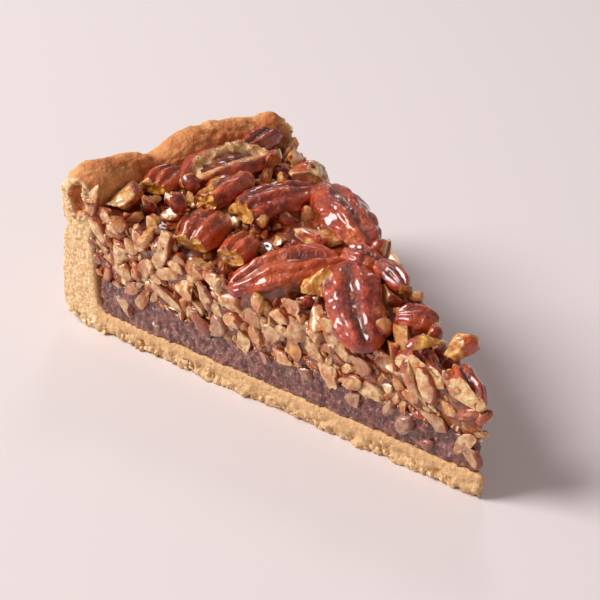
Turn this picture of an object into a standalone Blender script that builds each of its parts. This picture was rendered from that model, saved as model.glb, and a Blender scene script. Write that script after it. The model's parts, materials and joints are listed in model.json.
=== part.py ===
"""A cut slice of pecan pie: shortcrust case, custard, chopped nuts in syrup and large nuts on top.

Metres, +Z up. While it is built, the middle of the whole pie is at x = 0, y = 0 and the slice
runs along -X, from its tip out to the rim. Angles are measured round the pie from the slice's
middle line, and positive ones lie on the front side, -Y. At the end everything moves so that the
origin is under the middle of the slice, on the surface it stands on.
"""
import math
import random

import bmesh
import bpy
from mathutils import Matrix, Vector, noise
from mathutils.bvhtree import BVHTree
from mathutils.geometry import delaunay_2d_cdt

MM = 0.001

# The slice: a twelfth of a 23 cm pie
CUT_ANGLE = math.radians(30.9)
HALF_ANGLE = CUT_ANGLE / 2
FOOT_RADIUS = 117.3 * MM       # outside of the crust at its widest, just above the foot
RIM_RADIUS = 115.0 * MM        # outside of the crust at the rim
TIP_BREAK = 2.0 * MM           # the point of the base has crumbled off
TOUCH_GAP = 0.3 * MM           # left between pieces that touch

# Crust
BASE_THICKNESS = 5.6 * MM
WALL_INSIDE = 106.0 * MM       # radius of the wall's inner face
FOOT_ROUND = 7.0 * MM
CORNER_ROUND = 4.0 * MM        # inside, between base and wall
RIM_HEIGHT = 40.8 * MM
RIM_WIDTH = 10.4 * MM
LIP_PROUD = WALL_INSIDE - RIM_RADIUS + RIM_WIDTH
RIM_ROUND = 4.8 * MM
LIP_START = 25.0 * MM          # the wall starts to thicken towards the rim here
LIP_FULL = 31.0 * MM
CREASE_HEIGHT = 26.0 * MM      # crease where the rim's dough folds over the wall
CREASE_DEPTH = 1.1 * MM
CREASE_WIDTH = 2.2 * MM
WALL_WAVE = 0.35 * MM
# where the rim dips between its hand-pressed swells: angle, depth, half width
RIM_DIPS = (
    (math.radians(3.4), 3.8 * MM, math.radians(3.0)),
    (math.radians(8.5), 1.0 * MM, math.radians(2.5)),
    (math.radians(17.0), 4.0 * MM, math.radians(2.4)),
    (math.radians(-11.0), 1.0 * MM, math.radians(1.6)),
    (math.radians(-16.8), 4.6 * MM, math.radians(2.2)),
)
SWEEP_STEPS = 16
WAVES_ROUND = 14               # how often the wall wavers for each radian, and for each metre up
WAVES_UP = 0.12 / MM
OUTSIDE_HEIGHTS = (14 * MM, 20 * MM, 24 * MM, CREASE_HEIGHT, 28.5 * MM)
INSIDE_HEIGHTS = (28 * MM, LIP_START, 17 * MM, BASE_THICKNESS + CORNER_ROUND)
HOLLOW_CENTRE = (109.6 * MM, 33.2 * MM)   # radius and height of the air pocket in the rim's cut end
HOLLOW_SIZE = (2.5 * MM, 2.6 * MM, 4.0 * MM)

# Filling
FILLING_TIP = 2.2 * MM
GRID = 3.1 * MM                # spacing of the filling's surface points
CUSTARD_TOP = 13.4 * MM
CUSTARD_RISE = 2.0 * MM        # the custard stands higher near the wall
CUSTARD_WAVE = 1.0 * MM
CUSTARD_WAVE_SIZE = 11 * MM
CUSTARD_RISE_FROM = 60 * MM
EDGE_MARGIN = 0.55             # how near the edge an inner point may come, for the grid's size
NUTS_FRONT_LOW = 23.2 * MM     # top edge of the chopped nuts along the front cut
NUTS_FRONT_RISE = 10.0 * MM
NUTS_BACK_LOW = 23.4 * MM      # and along the back cut
NUTS_BACK_RISE = 9.5 * MM
NUTS_FRONT_CURVE = 2.5         # the rise comes late, close to the wall
NUTS_BACK_FROM = 6 * MM
NUTS_BACK_TO = 55 * MM
NUTS_TO_BACK = (-1.0, 0.3)     # where the front's height gives way to the back's, in half angles
NUTS_BUMP = 1.8 * MM
NUTS_BUMP_SIZE = 5 * MM
SOCKET_GAP = 0.5 * MM
SOCKET_REACH = 3.6 * MM        # longer than a side of the filling's triangles

# Large nuts on top
RINGS = 9
AROUND = 12
END_FULLNESS = 2.3             # above 2 the ends are blunter than an oval's
UNDERSIDE = 0.55               # how deep the belly is for the height of the back
MIDDLE_GROOVE = 0.26
GROOVE_WIDTH = 0.3
BEND = 0.1
BEND_EVEN = 0.4                # shifts a bent nut back onto its own middle
SAG = 0.12
BREAK_ROUGHNESS = 0.6 * MM
PRESS_GAP = 0.4 * MM
WRINKLE = 0.06

# Colours: linear red, green and blue, then roughness
CRUST_LOOK = ((0.60, 0.36, 0.15), 0.75)
CUSTARD_LOOK = ((0.10, 0.035, 0.03), 0.35)
NUTS_LOOK = ((0.36, 0.17, 0.075), 0.45)
GLAZED_LOOK = ((0.22, 0.03, 0.012), 0.18)
BROKEN_LOOK = ((0.62, 0.30, 0.08), 0.3)

# Name, middle in mm, length width height in mm, turn tilt roll in degrees, first and last part
# kept, look. Turn is about +Z from +X, tilt lifts the far end, and roll is about the nut's own
# length. Where two nuts press together, the one named first keeps its shape.
NUTS = (
    ("nut_back_half", (-61.5, 12.6, 35.2), (29, 12, 9), (-16, -4, -12), (-1.0, 1.0), GLAZED_LOOK),
    ("nut_broad", (-75.5, 4.2, 34.8), (24, 13, 9), (86, 0, -8), (-0.7, 1.0), GLAZED_LOOK),
    ("nut_curved_half", (-97.5, 4.5, 35.4), (25, 11, 8), (88, 3, 16), (-1.0, 1.0), GLAZED_LOOK),
    ("nut_long_half", (-56.2, -8.0, 29.9), (25, 11, 8), (57, 14, 12), (-1.0, 1.0), GLAZED_LOOK),
    ("nut_drooping_half", (-37.2, -3.0, 29.2), (25, 12, 8), (-29, -17, 10), (-1.0, 1.0), GLAZED_LOOK),
    ("nut_hollow_half", (-88.5, -1.0, 34.0), (18, 10, 8), (112, 0, -20), (-0.8, 0.9), GLAZED_LOOK),
    ("nut_three_sided", (-78.5, -13.4, 32.2), (14, 10, 9), (113, 12, 0), (-0.7, 0.9), GLAZED_LOOK),
    ("nut_rim", (-103.6, 19.6, 36.6), (15, 7, 6), (108, 0, 0), (-1.0, 0.8), GLAZED_LOOK),
    ("nut_round_end", (-100.3, -10.0, 35.0), (12, 8, 7), (110, 8, 0), (-0.6, 1.0), GLAZED_LOOK),
    ("nut_cut_end", (-100.2, -21.4, 33.4), (13, 8, 6), (98, 0, 0), (-0.6, 0.9), GLAZED_LOOK),
    ("nut_edge_broken", (-80.2, 17.6, 34.6), (13, 8, 7), (100, 0, 0), (-0.7, 0.8), BROKEN_LOOK),
    ("nut_red_end", (-67.5, -11.4, 31.4), (11, 8, 7), (110, 8, 0), (-0.6, 1.0), GLAZED_LOOK),
    ("nut_slab", (-60.2, 4.2, 32.2), (16, 7, 5), (23, 0, 10), (-0.8, 0.8), BROKEN_LOOK),
    ("nut_dark_broken", (-47.6, 5.8, 32.6), (11, 7, 6), (15, 0, 0), (-0.6, 0.9), GLAZED_LOOK),
    ("nut_amber", (-46.6, -6.0, 30.4), (10, 6, 6), (88, 0, 0), (-0.8, 0.8), BROKEN_LOOK),
    ("nut_edge_dark", (-38.6, 6.8, 32.0), (13, 6, 6), (-8, 0, 0), (-0.8, 0.9), GLAZED_LOOK),
    ("nut_edge_red", (-25.4, 2.2, 29.2), (10, 7, 6), (32, 0, 0), (-0.8, 0.8), GLAZED_LOOK),
    ("nut_tip_large", (-17.6, -3.0, 23.8), (14, 8, 7), (-20, -6, 0), (-0.7, 0.8), GLAZED_LOOK),
    ("nut_tip_small", (-7.8, -0.2, 23.4), (12, 7, 8), (-18, -12, 0), (-0.7, 0.9), GLAZED_LOOK),
    ("nut_thin_amber", (-18.4, -1.6, 28.6), (11, 5, 3.5), (75, 0, 0), (-0.8, 0.8), BROKEN_LOOK),
    ("nut_upright", (-12.6, 2.6, 29.4), (9, 4.5, 4.5), (60, 20, 0), (-0.8, 0.9), BROKEN_LOOK),
)


def clear_scene():
    for thing in list(bpy.data.objects):
        bpy.data.objects.remove(thing)


def smooth_step(low, high, value):
    part = min(max((value - low) / (high - low), 0.0), 1.0)
    return part * part * (3 - 2 * part)


def polar(radius, angle, height):
    """A point at this distance from the middle of the pie, at this angle round it."""
    return Vector((-radius * math.cos(angle), -radius * math.sin(angle), height))


def food_material(name, look):
    colour, roughness = look
    material = bpy.data.materials.new(name)
    material.use_nodes = True
    shader = material.node_tree.nodes["Principled BSDF"]
    shader.inputs["Base Color"].default_value = (*colour, 1.0)
    shader.inputs["Roughness"].default_value = roughness
    shader.inputs["Metallic"].default_value = 0.0
    return material


def add_object(name, bm, look):
    bmesh.ops.recalc_face_normals(bm, faces=bm.faces)
    mesh = bpy.data.meshes.new(name)
    bm.to_mesh(mesh)
    bm.free()
    thing = bpy.data.objects.new(name, mesh)
    bpy.context.collection.objects.link(thing)
    mesh.materials.append(food_material(name, look))
    return thing


# ---------------------------------------------------------------- crust

def rim_height(angle):
    height = RIM_HEIGHT
    for middle, depth, width in RIM_DIPS:
        height -= depth * math.exp(-((angle - middle) / width) ** 2)
    return height


def inside_radius(height):
    """Radius of the crust's inner face: a round corner on the base, then upright, then the lip."""
    corner = BASE_THICKNESS + CORNER_ROUND
    if height < corner:
        drop = min(corner - height, CORNER_ROUND)
        return WALL_INSIDE - CORNER_ROUND + math.sqrt(CORNER_ROUND ** 2 - drop ** 2)
    return WALL_INSIDE - LIP_PROUD * smooth_step(LIP_START, LIP_FULL, height)


def outside_radius(height, angle):
    lean = smooth_step(FOOT_ROUND, LIP_FULL, height)
    radius = FOOT_RADIUS + (RIM_RADIUS - FOOT_RADIUS) * lean
    crease = math.exp(-((height - CREASE_HEIGHT) / CREASE_WIDTH) ** 2)
    wave = noise.noise(Vector((angle * WAVES_ROUND, height * WAVES_UP, 3.1)))
    return radius - CREASE_DEPTH * crease + WALL_WAVE * (wave - 0.5) * lean


def arc(centre, across, up, start, end, steps):
    """Points on an oval round centre, from the start angle to the end angle in degrees."""
    points = []
    for step in range(steps + 1):
        turn = math.radians(start + (end - start) * step / steps)
        points.append((centre[0] + across * math.cos(turn), centre[1] + up * math.sin(turn)))
    return points


def crust_outline(angle):
    """The crust cut along one radius: under the base, up the wall, over the rim and back."""
    top = rim_height(angle)
    rim_middle = (RIM_RADIUS - RIM_WIDTH / 2, top - RIM_ROUND)
    foot_middle = (FOOT_RADIUS - FOOT_ROUND, FOOT_ROUND)
    outline = [(TIP_BREAK, 0.0)]
    outline += arc(foot_middle, FOOT_ROUND, FOOT_ROUND, -90, 0, 4)
    for height in OUTSIDE_HEIGHTS:
        outline.append((outside_radius(height, angle), height))
    outline += arc(rim_middle, RIM_WIDTH / 2, RIM_ROUND, 0, 180, 7)
    for height in INSIDE_HEIGHTS:
        outline.append((inside_radius(height), height))
    outline += arc((WALL_INSIDE - CORNER_ROUND, BASE_THICKNESS + CORNER_ROUND),
                   CORNER_ROUND, CORNER_ROUND, -25, -90, 3)
    outline.append((TIP_BREAK, BASE_THICKNESS))
    return outline


def make_crust():
    bm = bmesh.new()
    sections = []
    for step in range(SWEEP_STEPS + 1):
        angle = -HALF_ANGLE + CUT_ANGLE * step / SWEEP_STEPS
        sections.append([bm.verts.new(polar(r, angle, z)) for r, z in crust_outline(angle)])
    count = len(sections[0])
    for left, right in zip(sections, sections[1:]):
        for i in range(count):
            j = (i + 1) % count
            bm.faces.new((left[i], left[j], right[j], right[i]))
    bm.faces.new(sections[0])
    bm.faces.new(sections[-1])
    crust = add_object("crust", bm, CRUST_LOOK)

    bm = bmesh.new()
    bmesh.ops.create_icosphere(bm, subdivisions=2, radius=1.0)
    bmesh.ops.scale(bm, vec=HOLLOW_SIZE, verts=bm.verts)
    bmesh.ops.rotate(bm, matrix=Matrix.Rotation(HALF_ANGLE, 3, "Z"), verts=bm.verts)
    bmesh.ops.translate(bm, vec=polar(HOLLOW_CENTRE[0], HALF_ANGLE, HOLLOW_CENTRE[1]), verts=bm.verts)
    cutter = add_object("air_pocket_cutter", bm, CRUST_LOOK)
    cutter.hide_render = True
    cutter.display_type = "WIRE"
    pocket = crust.modifiers.new("air pocket", "BOOLEAN")
    pocket.operation = "DIFFERENCE"
    pocket.solver = "EXACT"
    pocket.object = cutter
    return crust, cutter


# ---------------------------------------------------------------- large nuts

def nut_outline(along, turn, wrinkle_phase):
    """Across and up, from -1 to 1, of a pecan half's skin at one place along and round it."""
    full = math.sqrt(max(1 - abs(along) ** END_FULLNESS, 0.0))
    up = math.sin(turn)
    swell = 1 + WRINKLE * math.cos(4 * turn + wrinkle_phase + 5 * along)
    if up > 0:
        swell -= MIDDLE_GROOVE * math.exp(-((turn - math.pi / 2) / GROOVE_WIDTH) ** 2)
        return full * swell * math.cos(turn), full * swell * up
    return full * swell * math.cos(turn), full * swell * up * UNDERSIDE


def make_nut(name, middle, size, turns, kept, look, chance):
    """A pecan half, whole or broken off at one or both ends, with its grooved back up."""
    length, width, height = (value * MM for value in size)
    first, last = kept
    phase = chance.uniform(0, 6)
    bend = chance.uniform(-BEND, BEND) * length
    bm = bmesh.new()
    rings = []
    for ring in range(RINGS):
        along = first + (last - first) * (ring + 0.5) / RINGS
        if ring == 0 and first > -1:
            along = first
        if ring == RINGS - 1 and last < 1:
            along = last
        broken = along in (first, last)
        row = []
        for step in range(AROUND):
            turn = 2 * math.pi * step / AROUND
            across, up = nut_outline(along, turn, phase)
            shift = chance.uniform(-BREAK_ROUGHNESS, BREAK_ROUGHNESS) if broken else 0.0
            sag = -SAG * height * along * along
            row.append(bm.verts.new((along * length / 2 + shift,
                                     across * width / 2 + bend * (along * along - BEND_EVEN),
                                     up * height / 2 + sag)))
        rings.append(row)
    for left, right in zip(rings, rings[1:]):
        for i in range(AROUND):
            j = (i + 1) % AROUND
            bm.faces.new((left[i], left[j], right[j], right[i]))
    for row, end in ((rings[0], first), (rings[-1], last)):
        centre = sum((vert.co for vert in row), Vector()) / AROUND
        if abs(end) == 1:
            centre.x = end * length / 2
        peak = bm.verts.new(centre)
        for i in range(AROUND):
            bm.faces.new((row[i], row[(i + 1) % AROUND], peak))
    turn, tilt, roll = (math.radians(value) for value in turns)
    place = Matrix.Translation(Vector(middle) * MM)
    place = place @ Matrix.Rotation(turn, 4, "Z") @ Matrix.Rotation(-tilt, 4, "Y")
    place = place @ Matrix.Rotation(roll, 4, "X")
    bmesh.ops.transform(bm, matrix=place, verts=bm.verts)
    bmesh.ops.triangulate(bm, faces=bm.faces)
    return add_object(name, bm, look)


def search_tree(thing):
    points = [vert.co for vert in thing.data.vertices]
    return BVHTree.FromPolygons(points, [face.vertices[:] for face in thing.data.polygons])


def swollen_copy(thing):
    """A copy that is larger by the gap that touching pieces keep."""
    bm = bmesh.new()
    bm.from_mesh(thing.data)
    bm.normal_update()
    for vert in bm.verts:
        vert.co += vert.normal * PRESS_GAP
    return add_object(thing.name + "_swollen", bm, CRUST_LOOK)


def press_into(lower, upper):
    """Where the upper piece presses into the lower one, the lower one gives way."""
    cutter = swollen_copy(upper)
    if search_tree(cutter).overlap(search_tree(lower)):
        press = lower.modifiers.new("press", "BOOLEAN")
        press.operation = "DIFFERENCE"
        press.solver = "EXACT"
        press.object = cutter
        shape = bpy.data.meshes.new_from_object(
            lower.evaluated_get(bpy.context.evaluated_depsgraph_get()))
        lower.modifiers.clear()
        lower.data = shape
    bpy.data.objects.remove(cutter)


def make_nuts(crust):
    chance = random.Random(7)
    nuts = [make_nut(*row, chance) for row in NUTS]
    for place, lower in enumerate(nuts):
        for upper in [crust, *nuts[:place]]:
            press_into(lower, upper)
    return nuts


# ---------------------------------------------------------------- filling

def wedge_plan():
    """The filling seen from above, in triangles: points as radius and angle, faces, and its edge."""
    border = []
    cut_steps = round((WALL_INSIDE - FILLING_TIP) / GRID)
    arc_steps = round(WALL_INSIDE * CUT_ANGLE / GRID)
    for step in range(cut_steps):
        border.append((FILLING_TIP + (WALL_INSIDE - FILLING_TIP) * step / cut_steps, HALF_ANGLE))
    for step in range(arc_steps):
        border.append((WALL_INSIDE, HALF_ANGLE - CUT_ANGLE * step / arc_steps))
    for step in range(cut_steps):
        border.append((WALL_INSIDE - (WALL_INSIDE - FILLING_TIP) * step / cut_steps, -HALF_ANGLE))
    border.append((FILLING_TIP, -HALF_ANGLE))

    flat = [polar(radius, angle, 0).xy for radius, angle in border]
    rows = int(WALL_INSIDE / (GRID * math.sqrt(0.75)))
    margin = GRID * EDGE_MARGIN
    for row in range(rows):
        x = -row * GRID * math.sqrt(0.75)
        for column in range(-rows, rows + 1):
            y = (column + 0.5 * (row % 2)) * GRID
            radius = math.hypot(x, y)
            if radius < 1e-9:
                continue
            to_cut = radius * math.sin(HALF_ANGLE - abs(math.atan2(y, -x)))
            if to_cut > margin and FILLING_TIP + margin < radius < WALL_INSIDE - margin:
                flat.append(Vector((x, y)))
    ring = [(i, (i + 1) % len(border)) for i in range(len(border))]
    points, _, faces, *_ = delaunay_2d_cdt(flat, ring, [], 1, 1e-7)
    return [(point.length, math.atan2(-point.y, -point.x)) for point in points], faces


def layer(name, plan, lower, upper, look):
    """A closed slab between two heights, each a function of radius and angle."""
    points, faces = plan
    bm = bmesh.new()
    levels = []
    for level in (lower, upper):
        row = []
        for radius, angle in points:
            height = level(radius, angle)
            room = (inside_radius(height) - TOUCH_GAP) / WALL_INSIDE
            row.append(bm.verts.new(polar(radius * room, angle, height)))
        levels.append(row)
    below, above = levels
    sides = set()
    for face in faces:
        bm.faces.new([above[i] for i in face])
        bm.faces.new([below[i] for i in reversed(face)])
        for i, j in zip(face, face[1:] + face[:1]):
            if (j, i) in sides:
                sides.remove((j, i))
            else:
                sides.add((i, j))
    for i, j in sorted(sides):
        bm.faces.new((below[i], below[j], above[j], above[i]))
    bmesh.ops.triangulate(bm, faces=bm.faces)
    return add_object(name, bm, look)


def custard_height(radius, angle):
    place = polar(radius, angle, 0) / CUSTARD_WAVE_SIZE
    rise = CUSTARD_RISE * smooth_step(CUSTARD_RISE_FROM, WALL_INSIDE, radius)
    return CUSTARD_TOP + rise + CUSTARD_WAVE * noise.noise(place)


def heap_height(radius, angle):
    """Top of the chopped nuts before the large nuts press into them."""
    reach = radius / WALL_INSIDE
    front = NUTS_FRONT_LOW + NUTS_FRONT_RISE * reach ** NUTS_FRONT_CURVE
    back = NUTS_BACK_LOW + NUTS_BACK_RISE * smooth_step(NUTS_BACK_FROM, NUTS_BACK_TO, radius)
    to_back = smooth_step(*NUTS_TO_BACK, -angle / HALF_ANGLE)
    bump = NUTS_BUMP * noise.noise(polar(radius, angle, 0) / NUTS_BUMP_SIZE)
    return front + (back - front) * to_back + bump


def find_undersides(nuts):
    """A search tree of the large nuts' faces, for reading their undersides from below."""
    points = []
    faces = []
    for nut in nuts:
        start = len(points)
        points += [vert.co.copy() for vert in nut.data.vertices]
        faces += [[start + i for i in face.vertices] for face in nut.data.polygons]
    return BVHTree.FromPolygons(points, faces)


def make_filling(nuts):
    plan = wedge_plan()
    undersides = find_undersides(nuts)

    def base_top(radius, angle):
        return BASE_THICKNESS + TOUCH_GAP

    def custard_top(radius, angle):
        return custard_height(radius, angle) - TOUCH_GAP / 2

    def nuts_bottom(radius, angle):
        return custard_height(radius, angle) + TOUCH_GAP / 2

    def nuts_top(radius, angle):
        height = heap_height(radius, angle)
        spot = polar(radius, angle, 0)
        for reach, count in ((0.0, 1), (SOCKET_REACH / 2, 8), (SOCKET_REACH, 12)):
            for step in range(count):
                turn = 2 * math.pi * step / count
                probe = spot + Vector((reach * math.cos(turn), reach * math.sin(turn), 0))
                hit = undersides.ray_cast(probe, Vector((0, 0, 1)))[0]
                if hit is not None:
                    height = min(height, hit.z - SOCKET_GAP)
        return height

    custard = layer("custard", plan, base_top, custard_top, CUSTARD_LOOK)
    chopped = layer("nut_layer", plan, nuts_bottom, nuts_top, NUTS_LOOK)
    return custard, chopped


# ---------------------------------------------------------------- the slice

def stand_on_origin(things):
    """Move every mesh so that the slice stands on z = 0 with its middle over the origin."""
    corners = [vert.co for thing in things for vert in thing.data.vertices]
    low = Vector([min(corner[axis] for corner in corners) for axis in range(3)])
    high = Vector([max(corner[axis] for corner in corners) for axis in range(3)])
    middle = Vector(((low.x + high.x) / 2, (low.y + high.y) / 2, low.z))
    return Matrix.Translation(-middle)


def main():
    clear_scene()
    crust, cutter = make_crust()
    nuts = make_nuts(crust)
    custard, chopped = make_filling(nuts)
    pieces = [crust, custard, chopped, *nuts]
    shift = stand_on_origin(pieces)
    for thing in [*pieces, cutter]:
        thing.data.transform(shift)


main()
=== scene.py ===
import itertools
import json
import math
import random

import bmesh
import bpy
import numpy as np
from mathutils import Matrix, Vector

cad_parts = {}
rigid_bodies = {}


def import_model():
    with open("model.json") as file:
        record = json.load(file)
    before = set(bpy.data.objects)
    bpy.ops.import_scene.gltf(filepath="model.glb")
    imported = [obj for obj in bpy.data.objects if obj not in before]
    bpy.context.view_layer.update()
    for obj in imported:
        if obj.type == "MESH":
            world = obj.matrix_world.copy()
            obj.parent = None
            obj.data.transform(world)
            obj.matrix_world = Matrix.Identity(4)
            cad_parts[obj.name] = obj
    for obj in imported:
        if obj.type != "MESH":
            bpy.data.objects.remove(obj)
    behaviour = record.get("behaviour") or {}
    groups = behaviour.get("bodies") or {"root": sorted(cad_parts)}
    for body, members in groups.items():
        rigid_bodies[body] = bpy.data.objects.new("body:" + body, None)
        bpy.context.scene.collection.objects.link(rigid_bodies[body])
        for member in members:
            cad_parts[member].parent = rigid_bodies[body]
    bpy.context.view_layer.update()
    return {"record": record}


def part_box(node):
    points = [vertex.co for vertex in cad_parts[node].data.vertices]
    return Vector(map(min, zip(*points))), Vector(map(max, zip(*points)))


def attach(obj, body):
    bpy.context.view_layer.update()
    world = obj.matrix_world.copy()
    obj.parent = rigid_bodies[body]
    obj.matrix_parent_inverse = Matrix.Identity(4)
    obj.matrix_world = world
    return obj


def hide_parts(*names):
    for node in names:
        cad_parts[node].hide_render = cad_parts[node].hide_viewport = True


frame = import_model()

# A cut slice of pecan pie. Shapes are worked out in millimetres with the middle of the whole pie
# at the origin: the slice runs along -X from its tip to the rim, and the front cut is on -Y.

MM = 0.001
HALF = math.radians(30.9) / 2
FOOT_RADIUS = 117.3
RIM_RADIUS = 115.0
RIM_WIDTH = 10.4
RIM_ROUND = 4.8
RIM_HEIGHT = 40.8
WALL_INSIDE = 106.0
BASE = 5.6
PIE_MIDDLE = Vector((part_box("crust")[0].x + FOOT_RADIUS * MM, 0, 0))
TIP = 2.0
# where the rim dips between its hand-pressed swells: angle, depth, half width
RIM_DIPS = ((3.4, 3.8, 3.0), (8.5, 1.0, 2.5), (17.0, 4.0, 2.4), (-11.0, 1.0, 1.6), (-16.8, 4.6, 2.2))
FRONT_IN = np.array((-math.sin(HALF), math.cos(HALF), 0.0))
BACK_IN = np.array((-math.sin(HALF), -math.cos(HALF), 0.0))


# ------------------------------------------------------------ numbers that vary at random

def scatter(cell, seed):
    """A steady random value from -1 to 1 for each whole-number cell."""
    mixed = cell @ np.array((374761393, 668265263, 1274126177), np.int64) + seed * 14466511
    mixed = ((mixed ^ (mixed >> 13)) * 1103515245) & 0x7FFFFFFF
    mixed = ((mixed ^ (mixed >> 15)) * 40503) & 0x7FFFFFFF
    return ((mixed >> 7) & 0xFFFF) / 32767.5 - 1


def soft_noise(points, size, seed=0):
    """Smooth random values from -1 to 1 that change over about this many millimetres."""
    place = np.asarray(points) / size + 19.7 * (seed + 1)
    cell = np.floor(place).astype(np.int64)
    part = place - cell
    part = part * part * (3 - 2 * part)
    total = np.zeros(len(place))
    for corner in itertools.product((0, 1), repeat=3):
        weight = np.prod(np.where(corner, part, 1 - part), axis=1)
        total += weight * scatter(cell + corner, seed)
    return total


def rough_noise(points, size, seed=0, layers=3):
    """Soft noise with finer and finer noise added to it."""
    total = 0
    for layer in range(layers):
        total = total + soft_noise(points, size / 2 ** layer, seed + layer) / 1.7 ** layer
    return total / 1.6


def grains(points, size, seed=0):
    """Distance to the nearest grain's middle, in grain sizes, and a random value for each grain."""
    place = np.asarray(points) / size
    cell = np.floor(place).astype(np.int64)
    best = np.full(len(place), 9.0)
    tone = np.zeros(len(place))
    for corner in itertools.product((-1, 0, 1), repeat=3):
        near = cell + corner
        middle = near + 0.5 + 0.4 * np.stack([scatter(near, seed + k) for k in range(3)], 1)
        gap = np.linalg.norm(place - middle, axis=1)
        closer = gap < best
        tone[closer] = scatter(near[closer], seed + 3)
        best[closer] = gap[closer]
    return best, tone


def ramp(low, high, value):
    part = np.clip((value - low) / (high - low), 0.0, 1.0)
    return part * part * (3 - 2 * part)


# ------------------------------------------------------------ places in the slice

def polar(radius, angle, height):
    return np.stack(np.broadcast_arrays(-radius * np.cos(angle), -radius * np.sin(angle), height), -1)


def around(points):
    """Radius, angle round the pie (the front side is positive) and height of each point."""
    return np.hypot(points[:, 0], points[:, 1]), np.arctan2(-points[:, 1], -points[:, 0]), points[:, 2]


def from_cuts(points):
    """How far each point lies inside the front cut and inside the back cut."""
    return points @ FRONT_IN, points @ BACK_IN


def rim_height(angle):
    height = RIM_HEIGHT
    for middle, depth, width in RIM_DIPS:
        height = height - depth * np.exp(-((np.degrees(angle) - middle) / width) ** 2)
    return height


def custard_height(radius, angle):
    wave = soft_noise(polar(radius, angle, 0.0 * radius), 9, 4)
    return 13.0 + 2.0 * ramp(60, WALL_INSIDE, radius) + 1.3 * wave


def heap_height(radius, angle):
    """Top of the chopped nuts: low along the front cut, heaped up towards the back."""
    front = 23.4 + 10.0 * (radius / WALL_INSIDE) ** 2.5
    back = 23.4 + 9.5 * ramp(6, 55, radius)
    to_back = ramp(-1.0, 0.3, -angle / HALF)
    return front + (back - front) * to_back + 1.2 * soft_noise(polar(radius, angle, 0.0 * radius), 5, 8)


# ------------------------------------------------------------ meshes

def new_mesh(name, points, faces, **values):
    """A mesh from points in millimetres round the pie's middle, with a value per point for each name."""
    mesh = bpy.data.meshes.new(name)
    mesh.from_pydata((np.asarray(points) * MM + np.array(PIE_MIDDLE)).tolist(), [], faces)
    for key, value in values.items():
        layer = mesh.attributes.new(key, "FLOAT", "POINT")
        layer.data.foreach_set("value", np.ascontiguousarray(value, np.float32))
    mesh.shade_smooth()
    return mesh


def add_piece(name, mesh, material, slot, *nodes):
    thing = bpy.data.objects.new(name, mesh)
    bpy.context.scene.collection.objects.link(thing)
    mesh.materials.clear()
    mesh.materials.append(material)
    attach(thing, "root")
    if nodes:
        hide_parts(*nodes)
    return thing


def read_mesh(mesh):
    """Points, normals and faces of a mesh, as arrays."""
    points = np.zeros(len(mesh.vertices) * 3)
    normals = np.zeros(len(mesh.vertices) * 3)
    mesh.vertices.foreach_get("co", points)
    mesh.vertex_normals.foreach_get("vector", normals)
    faces = [tuple(face.vertices) for face in mesh.polygons]
    return points.reshape(-1, 3), normals.reshape(-1, 3), faces


def even_skin(bm, voxel, smoothing, cutter=None):
    """The closed shape in bm covered again with small even faces, so that relief can move them."""
    bmesh.ops.recalc_face_normals(bm, faces=bm.faces)
    mesh = bpy.data.meshes.new("even")
    bm.to_mesh(mesh)
    bm.free()
    thing = bpy.data.objects.new("even", mesh)
    bpy.context.scene.collection.objects.link(thing)
    if cutter:
        hollow = thing.modifiers.new("hollow", "BOOLEAN")
        hollow.solver = "EXACT"
        hollow.object = cutter
    skin = thing.modifiers.new("skin", "REMESH")
    skin.mode = "VOXEL"
    skin.voxel_size = voxel
    soften = thing.modifiers.new("soften", "SMOOTH")
    soften.iterations = smoothing
    shape = bpy.data.meshes.new_from_object(thing.evaluated_get(bpy.context.evaluated_depsgraph_get()))
    bpy.data.objects.remove(thing)
    return read_mesh(shape)


def sector(lower, upper, inner, outer, inset):
    """A wedge-shaped slab between two heights, kept inset inside the cuts."""
    bm = bmesh.new()
    radii = np.linspace(inner, outer, 60)
    turns = np.linspace(-1, 1, 24)
    levels = []
    for level in (lower, upper):
        rows = []
        for radius in radii:
            angles = turns * max(HALF - inset / radius, 0.01)
            points = polar(radius, angles, level(np.full(24, radius), angles))
            rows.append([bm.verts.new(point) for point in points])
        levels.append(rows)
    for rows in levels:
        for near, far in zip(rows, rows[1:]):
            for i in range(len(near) - 1):
                bm.faces.new((near[i], near[i + 1], far[i + 1], far[i]))
    below, above = levels
    for edge_below, edge_above in (
        (below[0], above[0]), (below[-1], above[-1]),
        ([row[0] for row in below], [row[0] for row in above]),
        ([row[-1] for row in below], [row[-1] for row in above]),
    ):
        for i in range(len(edge_below) - 1):
            bm.faces.new((edge_below[i], edge_below[i + 1], edge_above[i + 1], edge_above[i]))
    return bm


# ------------------------------------------------------------ materials

def colour(code):
    """A colour written as sRGB hex, as the linear values that shaders use."""
    parts = [int(code[i:i + 2], 16) / 255 for i in (1, 3, 5)]
    return tuple(p / 12.92 if p <= 0.04045 else ((p + 0.055) / 1.055) ** 2.4 for p in parts) + (1.0,)


def add_node(tree, kind, links=(), **settings):
    """A node with its settings, its input values and the links into it."""
    node = tree.nodes.new(kind)
    for key, value in settings.items():
        if key == "values":
            for place, number in value.items():
                node.inputs[place].default_value = number
        else:
            setattr(node, key, value)
    for place, source in dict(links).items():
        tree.links.new(source, node.inputs[place])
    return node


def new_material(name, **shader_values):
    material = bpy.data.materials.new(name)
    material.use_nodes = True
    tree = material.node_tree
    shader = tree.nodes["Principled BSDF"]
    for key, value in shader_values.items():
        shader.inputs[key.replace("_", " ")].default_value = value
    return material, tree, shader


def value_of(tree, name):
    return add_node(tree, "ShaderNodeAttribute", attribute_name=name).outputs["Fac"]


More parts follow.
